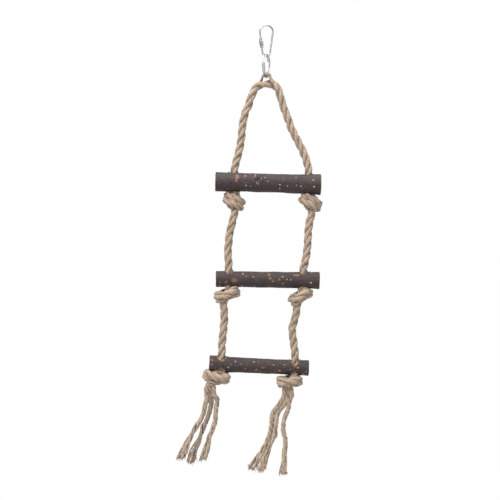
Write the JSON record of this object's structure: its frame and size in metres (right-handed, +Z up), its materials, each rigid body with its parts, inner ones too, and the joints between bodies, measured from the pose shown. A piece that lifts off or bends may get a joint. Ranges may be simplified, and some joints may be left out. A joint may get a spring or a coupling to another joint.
{
  "type": "hanging rope ladder",
  "caption": "Small hanging ladder for a bird or pet: bark-covered wooden rungs on knotted twisted rope with frayed tails, hung from a split ring and a pear-shaped screw link.",
  "frame": {"origin": "the hang point: the inside of the pear-shaped link's crown, where a hook or cage bar bears", "axes": "+Z up, +X along the rungs to the ladder's right, -Y towards the front; the rope lies in the plane y = 0"},
  "size_m": [0.1293, 0.0214, 0.4013],
  "materials": {
    "bark": "dark grey-brown bark with pale lenticels, orange-brown scars and sawn ends",
    "rope": "tan three-strand jute rope with loose fibres",
    "zinc": "zinc-plated bent wire, satin",
    "chrome": "bright nickel-plated spring wire"
  },
  "bodies": {
    "link": {"link_frame": "zinc"},
    "sleeve": {"link_sleeve": "zinc"},
    "ring": {"split_ring": "chrome"},
    "loop": {"rope_loop_left": "rope", "rope_loop_right": "rope", "rope_crown": "rope", "crown_strand": "rope"},
    "rung_1": {"rung_1": "bark", "rope_in_rung_1_left": "rope", "knot_1_left": "rope", "rope_bend_over_rung_1_left": "rope", "rope_in_rung_1_right": "rope", "knot_1_right": "rope", "rope_bend_over_rung_1_right": "rope"},
    "bay_1": {"rope_bay_1_left": "rope", "rope_bay_1_right": "rope", "rope_bend_under_knot_1_left": "rope", "rope_bend_under_knot_1_right": "rope"},
    "rung_2": {"rung_2": "bark", "rope_in_rung_2_left": "rope", "knot_2_left": "rope", "rope_bend_over_rung_2_left": "rope", "rope_in_rung_2_right": "rope", "knot_2_right": "rope", "rope_bend_over_rung_2_right": "rope"},
    "bay_2": {"rope_bay_2_left": "rope", "rope_bay_2_right": "rope", "rope_bend_under_knot_2_left": "rope", "rope_bend_under_knot_2_right": "rope"},
    "rung_3": {"rung_3": "bark", "rope_in_rung_3_left": "rope", "knot_3_left": "rope", "rope_bend_over_rung_3_left": "rope", "tail_neck_left": "rope", "rope_in_rung_3_right": "rope", "knot_3_right": "rope", "rope_bend_over_rung_3_right": "rope", "tail_neck_right": "rope"},
    "tail_left_1": {"tail_strand_left_1": "rope"},
    "tail_left_2": {"tail_strand_left_2": "rope"},
    "tail_left_3": {"tail_strand_left_3": "rope"},
    "tail_right_1": {"tail_strand_right_1": "rope"},
    "tail_right_2": {"tail_strand_right_2": "rope"},
    "tail_right_3": {"tail_strand_right_3": "rope"}
  },
  "joints": [
    {"name": "sleeve_slide", "type": "slide", "parent": "link", "child": "sleeve", "axis": [-0.1247, 0, 0.9922], "range_m": [0, 0.0048]},
    {"name": "ring_swing", "type": "hinge", "parent": "link", "child": "ring", "pos_m": [0, 0, -0.0266], "axis": [1, 0, 0], "range_deg": [-60, 60]},
    {"name": "loop_sway", "type": "hinge", "parent": "ring", "child": "loop", "pos_m": [0, 0, -0.0456], "axis": [0.2521, 0.9677, 0], "range_deg": [-35, 35]},
    {"name": "rung_1_fold", "type": "hinge", "parent": "loop", "child": "rung_1", "pos_m": [0.00476, 0, -0.12601], "axis": [-0.9997, 0, 0.0238], "range_deg": [-100, 100], "deforming": ["rope_bend_over_rung_1_left", "rope_bend_over_rung_1_right"]},
    {"name": "bay_1_fold", "type": "hinge", "parent": "rung_1", "child": "bay_1", "pos_m": [0.00487, 0, -0.1716], "axis": [0.9999, 0, -0.0126], "range_deg": [-100, 100], "deforming": ["rope_bend_under_knot_1_left", "rope_bend_under_knot_1_right"]},
    {"name": "rung_2_fold", "type": "hinge", "parent": "bay_1", "child": "rung_2", "pos_m": [-0.00007, 0, -0.21363], "axis": [-0.9999, 0, 0.0115], "range_deg": [-100, 100], "deforming": ["rope_bend_over_rung_2_left", "rope_bend_over_rung_2_right"]},
    {"name": "bay_2_fold", "type": "hinge", "parent": "rung_2", "child": "bay_2", "pos_m": [-0.00544, 0, -0.25297], "axis": [0.9998, 0, -0.0181], "range_deg": [-100, 100], "deforming": ["rope_bend_under_knot_2_left", "rope_bend_under_knot_2_right"]},
    {"name": "rung_3_fold", "type": "hinge", "parent": "bay_2", "child": "rung_3", "pos_m": [-0.00711, 0, -0.29144], "axis": [-0.9987, 0, 0.05], "range_deg": [-100, 100], "deforming": ["rope_bend_over_rung_3_left", "rope_bend_over_rung_3_right"]},
    {"name": "tail_left_1_swing", "type": "hinge", "parent": "rung_3", "child": "tail_left_1", "pos_m": [-0.0533, 0, -0.32617], "axis": [1, 0, 0], "range_deg": [-80, 80]},
    {"name": "tail_left_2_swing", "type": "hinge", "parent": "rung_3", "child": "tail_left_2", "pos_m": [-0.0502, 0, -0.32617], "axis": [1, 0, 0], "range_deg": [-80, 80], "deforming": ["tail_neck_left"]},
    {"name": "tail_left_3_swing", "type": "hinge", "parent": "rung_3", "child": "tail_left_3", "pos_m": [-0.0471, 0, -0.32617], "axis": [1, 0, 0], "range_deg": [-80, 80]},
    {"name": "tail_right_1_swing", "type": "hinge", "parent": "rung_3", "child": "tail_right_1", "pos_m": [0.01606, 0, -0.3278], "axis": [1, 0, 0], "range_deg": [-80, 80]},
    {"name": "tail_right_2_swing", "type": "hinge", "parent": "rung_3", "child": "tail_right_2", "pos_m": [0.01916, 0, -0.3278], "axis": [1, 0, 0], "range_deg": [-80, 80], "deforming": ["tail_neck_right"]},
    {"name": "tail_right_3_swing", "type": "hinge", "parent": "rung_3", "child": "tail_right_3", "pos_m": [0.02226, 0, -0.3278], "axis": [1, 0, 0], "range_deg": [-80, 80]}
  ]
}
